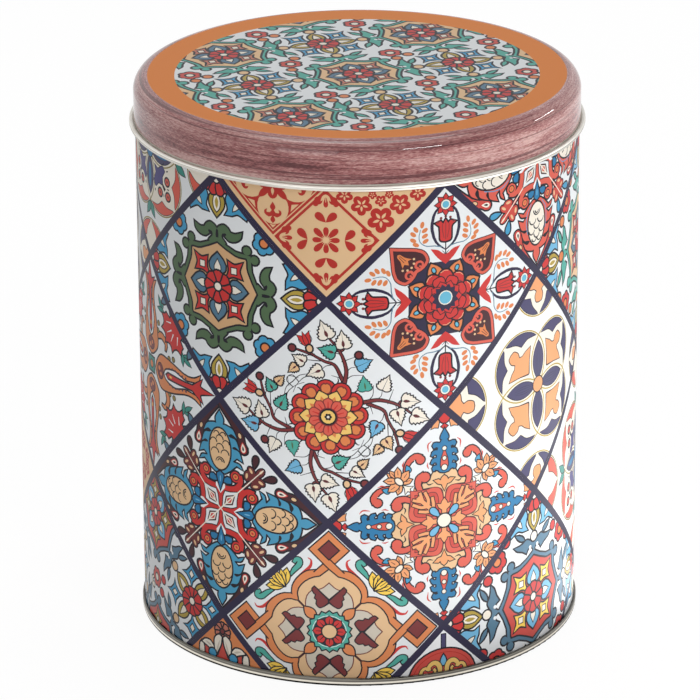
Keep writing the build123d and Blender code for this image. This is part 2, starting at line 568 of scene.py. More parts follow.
def artichoke(band, leaves, cone, fleur, sprig, drops, arch_ink):
    """A cross of curls, with a cone in a crown of leaves on each arm."""
    art = Art()
    # flourishes that round off the corners
    arch = form(
        [945, 860+75j, 780+138j, 700+185j, 630+200j], [570+215j, 550+250j, 570+285j, 610+285j],
        [650+262j, 720+245j, 800+185j], [880+100j, 970+15j], [970-10j, 945],
    )
    art.put(arch_ink, eight(arch))
    art.put("cream", eight(drop(648+238j, 85, 22, 172)), line="red", width=6)
    art.fill("ink", eight(drop(625+240j, 45, 9, 172)))
    art.put("peach", eight(oval(712+212j, 24, 15, -20)), width=6)
    # drops and sprigs on the diagonals
    art.put(drops, eight(drop(560+65j, 115, 26, 34), start=45))
    petals = both(oval(455+56j, 47, 30, 38), oval(515+60j, 46, 30, 75)) + [oval(575, 50, 30)]
    art.put(sprig, around(stroke([340, 460], 10, 16), petals, start=45), width=9)
    art.fill(sprig, around(petals, oval(490, 50), start=45))
    art.fill("peach", around(
        both(oval(450+60j, 26, 12, 38), oval(516+66j, 26, 12, 75)), oval(588, 24, 11), start=45,
    ))
    # crowns and cones
    crown = sym(
        [325], [335+55j], [370+110j, 430+175j], [405+235j], [445+205j, 455+150j], [460+135j],
        [500+180j], [475+235j], [560+200j, 575+140j], [580+120j], [600+160j, 575+205j],
        [660+170j, 675+110j], [690+90j], [710+130j, 680+180j], [750+140j, 775+70j, 775+35j],
        [830+40j, 895],
    )
    art.put(leaves, around(crown))
    art.fill("blue", eight(stroke([360+75j, 430+128j, 520+140j, 620+125j], 4)))
    art.put(cone, around(oval(547.5, 187, 112)))
    for at, r in (
        (425, 46), (430, 24), (505+55j, 43), (505-55j, 43), (555, 40), (600+68j, 36), (600-68j, 36),
        (635, 38), (675+35j, 30), (675-35j, 30),
    ):
        half = at + turned(r, np.linspace(-88, 88, 8))
        art.fill("ink", around(stroke(half, 7, 4)))
    # cross with curls
    curl = stroke([200+45j, 205+110j, 225+170j, 285+215j, 345+205j], 22, 22)
    ball = oval(325+163j, 50)
    shield = sym([0, 101+101j], [165+135j], [200+100j, 250+55j, 310+30j, 350])
    art.join(band, eight(curl, ball), around(shield, start=45))
    art.put("orange", eight(oval(325+163j, 26)), width=6)
    art.fill(band, eight(oval(325+163j, 14, 10, 45)))
    art.put("ground", around(sym([30, 100+58j, 155+83j], [195+45j, 265]), start=45), width=7)
    art.fill("dark_maroon", around(sym([50], [132+52j], [225]), start=45))
    art.fill("cream", around(sym([72], [132+36j], [205]), start=45))
    art.fill(band, around(sym([90], [130+24j], [185]), start=45))
    art.fill("cream", around(stroke([0, 620], 6, 4), start=45))
    # fleurs
    side = form([215, 250+30j, 245+75j], [255+115j, 295+110j, 305+75j], [285+45j, 300+15j], [215])
    art.fill("white", around(sym([140, 200+50j], [260+45j, 270])))
    art.put(fleur, eight(side))
    art.put(fleur, around(sym([175, 260+26j, 315+34j, 340])))
    art.fill("light_blue", around(oval(275, 30, 7)))
    return art.moved(-6-17j)


def lobed():
    """A four-lobed flower with serrated leaves, curls and small sprigs."""
    art = Art(width=9)
    # corner scallops
    art.put("apricot", eight(form(
        [970+30j], [900+50j, 855+60j], [860+90j, 850+120j], [890+100j, 950+90j],
    )), width=6)
    art.put("red", around(oval(965, 75, 55)))
    art.put("red", around(sym([825], [845+12j], [860+30j], [885])), width=6)
    # hooks on each side of the leaves
    hook = stroke([420+340j, 500+345j, 575+315j, 615+260j, 600+215j], 10, 28)
    end = oval(583+215j, 37)
    art.join("orange_red", eight(hook, end))
    art.put("blue", eight(drop(540+335j, 65, 22, 200)), width=7)
    # ticks
    for line in (
        [739+117j, 709+149j, 645+145j], [550+149j, 520+154j, 490+143j],
        [585+354j, 550+370j, 520+366j], [385+268j, 350+262j, 310+238j],
    ):
        art.fill("brick", eight(stroke(line, 2, 2, 7)))
    # sprigs on the diagonals
    art.put("apricot", eight(stroke([360, 400+30j, 425+65j], 12, 6), start=45), width=6)
    for turn, at, length, width in (
        (118, 540, 100, 24), (80, 550, 125, 32), (8, 580, 115, 20), (42, 575, 120, 26),
    ):
        art.put("apricot", eight(leaf(at, length, width, turn, 0.6), start=45), width=7)
        art.fill("brown", eight(stroke(
            [at + turned(0.45 * length, turn), at + turned(0.8 * length, turn)], 4, 2,
        ), start=45))
    art.put("cream", around(oval(567, 40, 23), start=45), width=8)
    art.put("cream", around(sym([415], [450+12j], [445+45j], [475+18j], [510]), start=45), width=6)
    # pale fields with red curls and a fleur
    field = sym(
        [190], [290+20j, 320+90j, 315+190j], [360+195j, 385+130j],
        [430+115j, 465+85j, 445+45j, 430],
    )
    art.put("peach", around(field))
    curl = stroke([295+215j, 350+235j, 410+225j, 435+180j], 20, 34, 26)
    head = oval(418+175j, 44)
    art.join("orange_red", eight(curl, head))
    art.fill("ink", eight(stroke([355+100j, 345+140j, 370+165j], 2, 2, 6)))
    fleur = sym([275], [335+25j], [345+60j, 378+95j], [385+55j, 370+35j], [395+25j, 415])
    art.put("apricot", around(fleur), width=7)
    # leaves with four fingers on each side
    blade = [
        sym([440, 460+50j, 550+72j, 660+60j, 730+30j, 760], [765]),
        sym([735], [750+35j, 785+30j, 840]),
    ]
    for at in (465, 532, 602, 672):
        blade += both(stroke([
            at + 20+45j, at + 30+90j, at + (128 - 0.35 * abs(at - 560)) * 1j,
        ], 21, 8, 19))
    art.join("blue_deep", around(blade))
    art.put("orange_red", around(sym([465, 490+30j, 560+30j, 660])), width=6)
    for at, r in ((486, 25), (570, 17), (660, 18)):
        art.put("cream", around(oval(at, r)), width=6)
    # body
    side = bend([12+180j, 20+250j, 45+300j, 100+313j, 170+298j, 250+297j, 300+300j])
    lobe = thin(np.concatenate([side[:-1], across(side), [10+10j]]))
    art.put("orange_red", around(lobe), line="maroon", width=6)
    art.put("brick", around(45 * (1+1j) + 0.72 * lobe), width=4)
    art.fill("orange_red", around(75 * (1+1j) + 0.5 * lobe))
    # coral
    arm = stroke([60, 200, 340], 18, 18)
    twigs = [
        stroke([140, 190+50j, 240+85j], 14, 12), stroke([210, 250+45j, 325+75j], 14, 13),
        stroke([270, 310+20j, 355+45j], 12),
    ]
    art.join("apricot", around(both(twigs), arm, start=45), width=6)
    tri = sym([50+20j, 100+20j], [125+50j, 160+65j], [155+30j, 175+22j, 205])
    art.put("apricot", around(tri), width=6)
    art.put("light_blue", around(drop(60, 115, 28), start=45), width=8)
    art.put("cream", oval(0, 60))
    return art.moved(4-25j)


def circles(crescent, heart, lens, rim, eye):
    """Four circles through the middle, whose overlaps are petals, and a quarter at each corner."""
    art = Art()
    c, r = 220, 311.1
    at = c * (1+1j)

    def arc(centre, radius, a, b, n):
        return centre + turned(radius, np.linspace(a, b, n))

    inner = [(at * 1j**k, 90 * k + 45) for k in range(4)]
    outer = [(945 * 1j**k, 90 * k + 180) for k in range(4)]
    for centre, turn in inner + outer:
        part = Art()
        part.fill(rim, oval(0, r + 12))
        part.fill("cream", oval(0, r))
        # two crescents, each drawn in at its middle
        for m in (1, -1):
            out = arc(0, r - 12, 49, 127, 14)
            tip = turned(185, 86)
            cusp = [
                bend([out[-1], turned(245, 106), tip])[:-1],
                bend([tip, turned(235, 68), out[0] * 0.985]),
            ]
            shape = turned(thin(np.concatenate([out, np.concatenate(cusp)[1:-1]])), -45)
            part.put(crescent, shape if m > 0 else np.conj(shape)[::-1], width=5)
        if heart:
            part.put(heart, form(
                [-120], [-40+85j, 35+185j], [60+115j, 65+70j, 90+35j], [135+55j, 185+40j, 195],
                [185-40j, 135-55j, 90-35j], [65-70j, 60-115j, 35-185j], [-40-85j, -120],
            ), width=6)
        art.add(part, centre, turn)
    # petals where the circles overlap
    lens_side = arc(c - 1j * c, r, 135, 45, 12)
    half = np.concatenate([lens_side[:-1], np.conj(lens_side)[::-1][:-1]])
    art.fill(rim, around(grown(half, 12)))
    art.fill("cream", around(half))
    art.put(lens, around(c + (half - c) * 0.8), width=5)
    for v in (-30, -12, 12, 30):
        art.fill(
            "slate_dark",
            around(stroke([80 + 0.6j * v, 200 + 1.1j * v, 310 + 0.6j * v], 2, 1, 3.5)),
        )
    art.put(eye, oval(0, 68), width=8)
    return art.moved(38-32j)


def interlace():
    """A band that crosses itself round four foils, with a flower in the middle."""
    art = Art(width=9)
    # strokes, curls and fans at the edges
    brush = stroke([675+183j, 650+152j, 595+162j, 542+211j, 478+267j, 408+310j, 350+322j], 3, 2, 17)
    comma = stroke([618+305j, 648+286j, 645+256j, 605+257j, 555+300j, 485+345j], 12, 4, 21)
    art.fill("red", eight(brush))
    art.put("teal", eight(comma), width=8)
    for turn, length, width in ((52, 165, 34), (31, 150, 24), (10, 155, 22)):
        art.put("yellow", eight(leaf(550, length, width, turn, 0.6), start=45), width=8)
        art.fill("ink", eight(stroke(
            [550 + turned(0.35 * length, turn), 550 + turned(0.8 * length, turn)], 3,
        ), start=45))
    # corner squares, and the band that crosses below them
    art.put("orange_deep", around(756 + DIAMOND * 168))

    def quatrefoil(tip, shoulder, side, cusp):
        edge = np.concatenate([[tip], bend([shoulder] + side)[:-1]])
        return thin(np.concatenate(around(np.concatenate([
            edge, [cusp * (1+1j)], across(edge)[:-1],
        ]))))

    art.put("orange_deep", quatrefoil(590, 566+105j, [548+190j, 485+267j, 408+314j, 330+325j], 318))
    for side in (-1, 1):
        over = stroke([689 + 60j * side, 529 - 100j * side], 29)
        art.put("orange_deep", around(over))
        art.fill("orange_deep", around(stroke([710 + 81j * side, 500 - 129j * side], 29)))
    art.put("maroon", around(756 + DIAMOND * 82))
    art.put("peach", quatrefoil(
        572, 506+77j, [489+140j, 450+204j, 394+253j, 338+270j, 288+262j], 262,
    ))
    art.put(
        "beige", quatrefoil(446, 408+40j, [387+75j, 373+140j, 330+183j, 274+200j, 230+200j], 200),
        line="brown", width=7,
    )
    # wings
    wing = form(
        [280], [409+127j], [385+145j, 350+128j], [340+112j], [305+122j], [290+104j],
        [250+108j, 222+80j, 238+45j], [280],
    )
    art.put("maroon", eight(wing), width=8)
    # ties, ring and flower
    art.fill("dark_maroon", around(stroke([300, 385], 10), start=45))
    art.put("orange_deep", around(leaf(165, 140, 42, 0, 0.5), start=45))
    teeth = tau * np.arange(36) / 36
    art.put("teal", np.where(np.arange(36) % 2, 188, 166) * np.exp(1j * teeth))
    art.fill("white", oval(0, 149))
    art.fill("teal", oval(0, 144))
    art.put("grid", oval(0, 130), width=6)
    art.put("red", around(sym([50, 85+28j, 118+30j, 140]), n=8), width=7)
    art.fill("ink", around(stroke([70, 118], 5, 2), n=8))
    art.put("peach", oval(0, 62))
    return art.moved(6)


def cream_patchwork():
    """A tile of four small ones in one red on cream."""
    art = Art()
    fleur = sym(
        [-75], [-30+25j, 10j], [20+25j], [20+55j, -10+50j], [5+75j, 35+75j, 60+40j, 50+8j],
        [85+22j, 115],
    )
    # above and below, leaves round a flower; corners of three lobes with a pale arrow
    for at in (-455j, 455j):
        art.fill("terracotta", at + 445 * DIAMOND)
        art.fill("peach", at + 412 * DIAMOND)
        petals = around(drop(15, 100, 24)) + around(drop(15, 125, 27), start=45)
        petals += eight(drop(155, 118, 34, 47))
        art.fill("terracotta", placed(petals, at))
        lobes = both(oval(345+62j, 36), oval(315+85j, 24)) + [
            np.array([430, 335+95j, 365, 335-95j]), drop(375, 90, 20, 180),
        ]
        art.fill("terracotta", placed(around(lobes), at))
        arrows = around(stroke([395, 330], 3), both(leaf(400, 75, 13, 145)))
        art.fill("peach", placed(arrows + around(leaf(0, 50, 5), n=8), at))
    # on the left, four rings with a lily in each
    at = -455
    art.fill("terracotta", at + 445 * DIAMOND)
    art.fill("peach", at + 415 * DIAMOND)
    art.fill("terracotta", at + 402 * DIAMOND)
    slivers = around(np.array([272+50j, 272-50j, 235]), start=45)
    slivers += around(np.array([383, 352-30j, 358, 352+30j]))
    art.fill("peach", placed(slivers + around(oval(205, 146, 140)), at))
    petals = around(230 + fleur, oval(78, 52, 45)) + around(leaf(50, 140, 30), start=45)
    art.fill("terracotta", placed(petals, at))
    art.fill("peach", placed(around(leaf(30, 70, 14)) + [oval(0, 20)], at))
    # on the right, five-petalled flowers
    for z, r in (
        (455-275j, 112), (295-145j, 88), (615-145j, 88), (455-110j, 50), (155-60j, 70),
        (765-60j, 70), (385-55j, 38), (525-55j, 38),
    ):
        for spot, turn in ((z, -90), (z.conjugate(), 90)):
            petals = around(oval(0.62 * r, 0.42 * r), n=5, start=turn)
            art.fill("terracotta", placed(petals + [oval(0, 0.5 * r)], spot))
            art.fill("peach", placed(
                around(leaf(0.1 * r, 0.55 * r, 0.11 * r), n=5, start=turn), spot,
            ))
    return art


def tulips():
    """Four long tulips from a small square, and carnations between them."""
    art = Art()
    # carnations on the diagonals
    art.put("teal_deep", eight(stroke([600, 660+60j, 700+140j], 18, 6), start=45))
    for at, turn in ((560+235j, 20), (585+240j, 75), (600+200j, 130)):
        art.put("teal_deep", eight(leaf(at, 120, 20, turn), start=45), width=6)
    art.put("slate", eight(leaf(630+280j, 140, 26, -15), start=45))
    art.put("orange_deep", around(
        stroke([240+100j, 300+120j, 400+70j, 420-20j, 370-60j], 12, 6, 24), start=45,
    ))
    petal = sym([0, 100+35j, 170+50j], [190+20j], [225])
    fan = [660 + turned(petal, 180 + turn) for turn in (-66, -33, 0, 33, 66)]
    art.put("red", around(fan, start=45))
    art.put("red", around(oval(670, 75, 110), start=45))
    art.fill("red", around(fan, start=45))
    art.fill("white", eight(
        stroke([600+20j, 520+45j], 7, 3), stroke([640+70j, 580+120j], 7, 3), start=45,
    ))
    for z in (370+140j, 430+180j, 300+100j):
        art.put("gold_dark", eight(oval(z, 20), start=45), width=6)
    # tulips
    outer = sym(
        [100], [130+70j, 220+150j, 400+135j, 600+85j, 720+90j, 800+135j], [770+70j, 700+50j], [700],
    )
    art.put("orange_deep", around(outer))
    art.put("white", around(sym([270, 310+45j, 450+70j, 600+35j, 720+45j], [740])))
    for x, y in ((360, 68), (410, 78), (460, 76), (510, 68), (560, 60), (610, 56)):
        art.fill("slate_dark", eight(oval(x + 1j * (y + 4), 11)))
    stamen = sym([310], [340+22j], [600+18j, 700+22j], [820+105j], [800+35j, 950])
    art.put("red", around(stamen))
    art.fill("yellow", around(oval(380, 22, 10)))
    art.put("maroon", around(oval(195, 55, 70)), width=7)
    art.fill("orange_deep", around(oval(175+20j, 22), oval(205-25j, 18)))
    art.put("teal_deep", 65 * SQUARE)
    art.put("orange", oval(0, 32), width=7)
    return art.moved(-20)


def ogee():
    """The four circles again, with a spray of flowers in each and leaves between them."""
    art = circles("orange_red", None, "navy", "gold_dark", "blue_deep")
    at = 220 * (1+1j)
    middle = 38-32j
    spray = Art()
    flower = form(
        [-165], [-100+30j], [-75+115j, -20+120j], [-10+50j], [45], [-10-50j], [-20-120j, -75-115j],
        [-100-30j],
    )
    spray.put("violet", flower, width=5)
    spray.fill("ink", stroke([30, 100], 12, 18))
    for z in (65+85j, 65-85j, 165):
        spray.put("orange_red", oval(z, 32))
        spray.fill("maroon", oval(z, 12))
    for z, turn in (
        (155j, 70), (-155j, -70), (-80+145j, 95), (-80-145j, -95), (120+50j, 40), (120-50j, -40),
    ):
        spray.fill("ink", oval(z, 16, 7, turn))
    for k in range(4):
        art.add(spray, middle + at * 1j**k, 45 + 90 * k)
    art.fill("blue_deep", placed(around(oval(225, 110, 28)), middle))
    for turn in (35, -35):
        art.put("teal_deep", placed(around(470 + turned(leaf(0, 150, 32), turn)), middle), width=7)
    return art


def star_tile():
    """The top of a lotus below a small flower, which is all that shows above the rim."""
    art = Art()
    rosette(art, 826, 82, "clay", "maroon", n=9)
    red = form([530+60j], [620+130j, 668+225j], [600+225j, 530+210j])
    side = form([590+80j], [650+95j], [700+140j, 700+200j, 668+238j], [640+160j, 590+80j])
    end = form([668+232j], [640+268j, 540+275j], [540+225j, 610+218j, 668+232j])
    middle = form([595+75j], [690+24j, 768+10j], [785+40j, 745+85j, 670+90j, 595+75j])
    art.put("brick", both(red), np.array([735, 530+100j, 530-100j]))
    art.put("cream", both(end, side, middle))
    art.fill("beige", both(leaf(610+72j, 140, 10, -18), leaf(655+120j, 90, 10, 70)))
    art.put("blue", both(oval(595+115j, 40)))
    art.shapes = [(ink, 1j * s) for ink, s in art.shapes]
    return art.moved(-10)


def arch_tile():
    """The top of a red dome on a stem, which is all that shows above the rim."""
    art = Art()
    art.put("navy", stroke([780, 915], 18), width=6)
    art.put("brick", 500 + oval(0, 277, 310))
    art.fill("terracotta", 500 + oval(0, 250, 283))
    art.fill("brick", 500 + oval(0, 243, 276))
    art.put("light_blue", drop(724, 100, 26, 180), width=9)
    curls = [
        stroke([530+32j, 610+34j, 652+62j, 655+100j, 625+133j, 590+128j], 17, 14, 21),
        stroke([600+140j, 617+165j, 600+195j, 560+210j], 13, 14),
        stroke([540+85j, 585+75j, 600+92j], 8, 12),
    ]
    art.join("straw", both(curls), width=6)
    art.shapes = [(ink, 1j * s) for ink, s in art.shapes]
    return art


# each kind of tile: the ink of its ground, its drawing, and what the drawing is given
TILES = {
    "D1": (
        "ground", scroll, ("green", "tan", "red", "slate", "cream"),
        ("blue", "orange", None, None),
    ),
    "D2": ("ground", hearts),
    "D3": ("peach", cream_patchwork),
    "D4": ("ground", wreath),
    "D5": ("white", circles, "navy", "apricot", "navy", "gold", "apricot"),
    "D6": (
        "ground", artichoke, "red", "azure", "peach", "blue_deep", "brown", "dark_maroon",
        "dark_maroon",
    ),
    "D7": ("ground", lobed),
    "D8": ("ground", interlace),
    "D9": (
        "ground", scroll, ("slate", "brick", "yellow", "light_blue", "cream"),
        ("red", "orange", "red", None),
    ),
    "D10": ("ground", tulips),
    "D11": (
        "ground", lattice, ("slate", "brick", "gold", "light_blue", "cream"),
        ("brick", "cream", "red", "cream"), 620j, 45, 0.877, 1700,
    ),
    "D12": (
        "ground", artichoke, "orange_red", "orange_red", "cream", "blue_deep", "brick", "blue",
        "brick",
    ),
    "D13": ("ground", ogee),
    "D14": (
        "ground", scroll, ("teal", "peach", "red", "slate", "cream"),
        ("red", "orange", "orange", None),
    ),
    "D15": ("white", ogee),
    "D16": ("orange_deep", star_tile),
    "D17": ("white", arch_tile),
}


# Printing: overlapping shapes become one mesh with an ink on each face ------------


def cut(polygon, normal, reach):
    """The part of a convex polygon whose points, taken along the normal, stay within reach."""
    out = []
    for a, b in zip(polygon, np.roll(polygon, -1)):
        da, db = (a * np.conj(normal)).real - reach, (b * np.conj(normal)).real - reach
        if da <= 0:
            out.append(a)
        if da * db < 0:
            out.append(a + (b - a) * da / (da - db))
    return np.array(out)


def flatten(fields, lines=()):
    """Points, triangles and inks of overlapping fields; the last field over a face inks it.

    fields: (ink, outline) pairs. The first is the sheet that holds the others, and the
    second is the part of it that they stay within.
    lines: pairs of points along which the sheet has to bend.
    """
    sheet = fields[0][1]
    low, high = sheet.real.min() - 1e-6, sheet.real.max() + 1e-6
    floor, roof = sheet.imag.min() - 1e-6, sheet.imag.max() + 1e-6
    points, faces, edges, inks = [], [], [], []
    for ink, p in fields:
        if p.real.max() < low or p.real.min() > high or p.imag.max() < floor or p.imag.min() > roof:
            continue
        faces.append(list(range(len(points), len(points) + len(p))))
        points += [(z.real, z.imag) for z in p]
        inks.append(ink)
    for a, b in lines:
        edges.append((len(points), len(points) + 1))
        points += [(a.real, a.imag), (b.real, b.imag)]
    got = delaunay_2d_cdt([Vector(p) for p in points], edges, faces, 1, 2e-6)
    kept, ink_of = [], []
    for face, origins in zip(got[2], got[5]):
        if origins and min(origins) == 0:
            kept.append(face)
            ink_of.append(inks[max(origins) if 1 in origins else 0])
    return np.array([complex(v[0], v[1]) for v in got[0]]), kept, ink_of


def build(name, body, places, normals, faces, inks):
    """One piece with smooth shading from its own normals and a slot for each ink."""
    places, normals = np.concatenate(places), np.concatenate(normals)
    used = sorted({v for f in faces for v in f})
    number = {v: k for k, v in enumerate(used)}
    mesh = bpy.data.meshes.new(name)
    mesh.from_pydata(places[used].tolist(), [], [[number[v] for v in f] for f in faces])
    names = sorted(set(inks))
    for ink in names:
        mesh.materials.append(MATERIALS[ink])
    mesh.polygons.foreach_set("material_index", [names.index(i) for i in inks])
    mesh.polygons.foreach_set("use_smooth", [True] * len(faces))
    mesh.normals_split_custom_set_from_vertices(normals[used].tolist())
    mesh.update()
    piece = bpy.data.objects.new(name, mesh)
    bpy.context.scene.collection.objects.link(piece)
    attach(piece, body)
    return piece


TILE = 30.0  # half of a tile's diagonal, in degrees round the wall
STEP = WALL * radians(TILE)  # and in metres up the wall
LOWEST = 0.0204  # level of the lowest whole row's centres
BAND = 0.045  # half of the dark band between tiles, as a share of the half diagonal
FIRST = -68.0  # place round the wall of each even row's first tile, from the front
BEND = 3  # degrees round the wall between the lines along which the print bends
ARC = 6  # degrees between the rings round the lid's shoulder
BORDER, GROUND = 73.45, 63.86  # radii in millimetres of the lid's border and of what it holds
GROUND_SHIFT = -1.4j


@cache
def drawn(tile):
    """The tile's drawing in shares of its half diagonal, and the ink of its ground."""
    ground, design, *given = TILES[tile]
    return [(ink, s / 1000) for ink, s in design(*given).shapes], ground


def print_wall(rows):
    """The tiles of each row, cut at the edges of the print and at the side seam."""
    places, normals, faces, inks, count = [], [], [], [], 0
    for row, tiles in rows.items():
        for k, tile in enumerate(tiles):
            centre = FIRST + 60 * k - (30 if row % 2 else 0)
            level = LOWEST + STEP * row
            shapes, ground = drawn(tile)
            whole = cut(DIAMOND, 1j, (PRINT_HEAD - level) / STEP)
            whole = cut(whole, -1j, (level - PRINT_FOOT) / STEP)
            # the side seam is half a turn from the front
            seam = 180 if centre > 0 else -180
            parts = [whole]
            if abs(centre - seam) < TILE + SEAM_BARE:
                left = (seam - SEAM_BARE - centre) / TILE
                right = (seam + SEAM_BARE - centre) / TILE
                parts = [cut(whole, 1, left), cut(whole, -1, -right)]
            first, last = (centre - TILE) / BEND, (centre + TILE) / BEND
            bends = (np.arange(np.ceil(first) + 0.01, last) // 1 * BEND - centre) / TILE
            bends = [x for x in bends if abs(x) < 0.999]
            lines = [(complex(x, abs(x) - 1), complex(x, 1 - abs(x))) for x in bends]
            for part in parts:
                if len(part) < 3 or area(part) < 1e-4:
                    continue
                fields = [("grid", part), (ground, DIAMOND * (1 - BAND))] + shapes
                z, tris, ink = flatten(fields, lines)
                turn = np.radians(centre + TILE * z.real)
                out = np.stack([np.sin(turn), -np.cos(turn), 0 * turn], 1)
                up = np.outer(level + STEP * z.imag, [0, 0, 1])
                places.append(out * (WALL + WALL_INK) + up)
                normals.append(out)
                faces += [[v + count for v in f] for f in tris]
                inks += ink
                count += len(z)
    piece = build("wall_print", "canister", places, normals, faces, inks)


def print_lid():
    """Scrolls on the lid's top inside a plain border, and brushed colour round its edge."""
    ring = np.exp(1j * tau * np.arange(180) / 180)
    Art.bold = 1.8  # bolder lines than on the wall
    frame_inks = ("teal", "peach", "clay", "slate", "cream")
    edge_inks = ("brick", "cream", "orange", None)
    scrolls = lattice(frame_inks, edge_inks, 0.5 - 2.2j, 19.6, 0.03727, 90)  # in millimetres
    fields = [("border", BORDER * ring), ("ground", GROUND * ring + GROUND_SHIFT)] + scrolls.shapes
    z, faces, inks = flatten([(ink, p / 1000) for ink, p in fields])
    places = [np.stack([z.real, z.imag, 0 * z.real + LID_TOP + INK], 1)]
    normals = [np.tile([0.0, 0.0, 1.0], (len(z), 1))]
    edge, radius = LID - SHOULDER, SHOULDER + INK
    profile = [
        (edge + radius * cos(a), LID_TOP - SHOULDER + radius * sin(a), a)
        for a in np.radians(np.arange(90, -1, -ARC))
    ]
    profile.append((LID + INK, SKIRT_FOOT, 0.0))
    count, n = len(z), len(ring)
    for r, level, lean in profile:
        places.append(np.stack([r * ring.real, r * ring.imag, 0 * ring.real + level], 1))
        out = cos(lean) * ring
        normals.append(np.stack([out.real, out.imag, 0 * ring.real + sin(lean)], 1))
    for i in range(len(profile) - 1):
        for k in range(n):
            a, b = count + i * n + k, count + i * n + (k + 1) % n
            faces.append([a, a + n, b + n, b])
            inks.append("brushed")
    piece = build("lid_print", "lid", places, normals, faces, inks)


# Materials --------------------------------------------------------------------


def linear(rgb):
    """A colour as it is seen, 0 to 255, in the renderer's linear values."""
    c = np.array(rgb) / 255
    return tuple(np.where(c <= 0.04045, c / 12.92, ((c + 0.055) / 1.055) ** 2.4)) + (1.0,)


class Nodes:
    """A material's node tree with short ways to add to it."""

    def __init__(self, name):
        self.material = bpy.data.materials.new(name)
        self.material.use_nodes = True
        self.tree = self.material.node_tree
        self.shader = self.tree.nodes["Principled BSDF"]

    def set(self, **values):
        for name, value in values.items():
            self.shader.inputs[name.replace("_", " ")].default_value = value

    def node(self, kind, inputs=(), **settings):
        n = self.tree.nodes.new("ShaderNode" + kind)
        for k, v in settings.items():
            setattr(n, k, v)
        for k, v in dict(inputs).items():
            if isinstance(v, bpy.types.NodeSocket):
                self.tree.links.new(v, n.inputs[k])
            else:
                n.inputs[k].default_value = v
        return n

    def math(self, operation, a, b=0.0):
        return self.node("Math", {0: a, 1: b}, operation=operation).outputs[0]

    def share(self, *pairs):
        """The sum of values, each times its share."""
        parts = [self.math("MULTIPLY", value, share) for value, share in pairs]
        while len(parts) > 1:
            parts[-2:] = [self.math("ADD", *parts[-2:])]
        return parts[0]

    def place(self, scale=(1, 1, 1)):
        """Where the surface is on the object, stretched."""
        at = self.node("TexCoord").outputs["Object"]
        return self.node("Mapping", {"Vector": at, "Scale": scale}).outputs[0]

    def noise(self, at, scale, detail=2.0, rough=0.5):
        inputs = {"Vector": at, "Scale": scale, "Detail": detail, "Roughness": rough}
        return self.node("TexNoise", inputs).outputs[0]

    def spread(self, value, low, high, start=0.3, end=0.7):
        """The value's usual range brought to low..high."""
        inputs = {"Value": value, "From Min": start, "From Max": end, "To Min": low, "To Max": high}
        return self.node("MapRange", inputs).outputs[0]

    def ramp(self, value, stops):
        """Colours along a value from 0 to 1."""
        n = self.node("ValToRGB", {"Fac": value})
        marks = n.color_ramp.elements
        marks.remove(marks[1])
        marks[0].position, marks[0].color = stops[0][0], linear(stops[0][1])
        for place, rgb in stops[1:]:
            marks.new(place).color = linear(rgb)
        return n.outputs[0]

    def to(self, socket, value):
        self.tree.links.new(value, self.shader.inputs[socket])

    def bump(self, height, strength, distance):
        n = self.node("Bump", {"Height": height, "Strength": strength, "Distance": distance})
        self.to("Normal", n.outputs[0])


def ink_material(name, rgb):
    """Printing ink under a clear varnish that has dried a little uneven."""
    m = Nodes("ink_" + name)
    m.set(Base_Color=linear(rgb), Specular_IOR_Level=0.0)
    m.set(Coat_Weight=0.5, Coat_Roughness=0.3, Coat_IOR=1.5)
    at = m.place()
    m.to("Roughness", m.spread(m.noise(at, 90, 3), 0.30, 0.42))
    m.bump(m.noise(at, 900, 2), 0.10, 0.00005)
    return m.material


def brushed():
    """Dusty rose laid on in long dry strokes round the lid's edge, under the varnish."""
    m = Nodes("brushed_rose")
    m.set(Specular_IOR_Level=0.0, Coat_Weight=1.0, Coat_Roughness=0.02, Coat_IOR=1.5)
    at = m.node("TexCoord").outputs["Object"]
    axes = m.node("SeparateXYZ", {0: at})
    flat = m.node("CombineXYZ", {"X": axes.outputs[0], "Y": axes.outputs[1]})
    out = m.node("VectorMath", {0: flat.outputs[0]}, operation="LENGTH").outputs["Value"]
    down = m.math("SUBTRACT", axes.outputs[2], out)

    def streaks(along, across, detail, rough):
        x = m.math("MULTIPLY", axes.outputs[0], along)
        y = m.math("MULTIPLY", axes.outputs[1], along)
        z = m.math("MULTIPLY", down, across)
        return m.noise(m.node("CombineXYZ", {0: x, 1: y, 2: z}).outputs[0], 1.0, detail, rough)

    fine = streaks(620, 4200, 2, 0.6)
    middle = streaks(70, 1300, 3, 0.6)
    broad = streaks(12, 150, 2, 0.5)
    mixed = m.share((fine, 0.36), (middle, 0.26), (broad, 0.38))
    stops = (
        (0.40, (90, 34, 38)), (0.455, (142, 76, 77)), (0.50, (170, 108, 106)),
        (0.54, (188, 133, 129)), (0.60, (218, 176, 170)),
    )
    dark = m.spread(streaks(6, 900, 1, 0.4), 0.75, 0, 0.30, 0.38)
    threads = m.node("Mix", {"Factor": dark}, data_type="RGBA")
    m.tree.links.new(m.ramp(mixed, stops), threads.inputs[6])
    threads.inputs[7].default_value = linear((88, 38, 42))
    m.to("Base Color", threads.outputs[2])
    m.to("Roughness", m.spread(fine, 0.34, 0.5))
    m.bump(fine, 0.12, 0.00004)
    return m.material


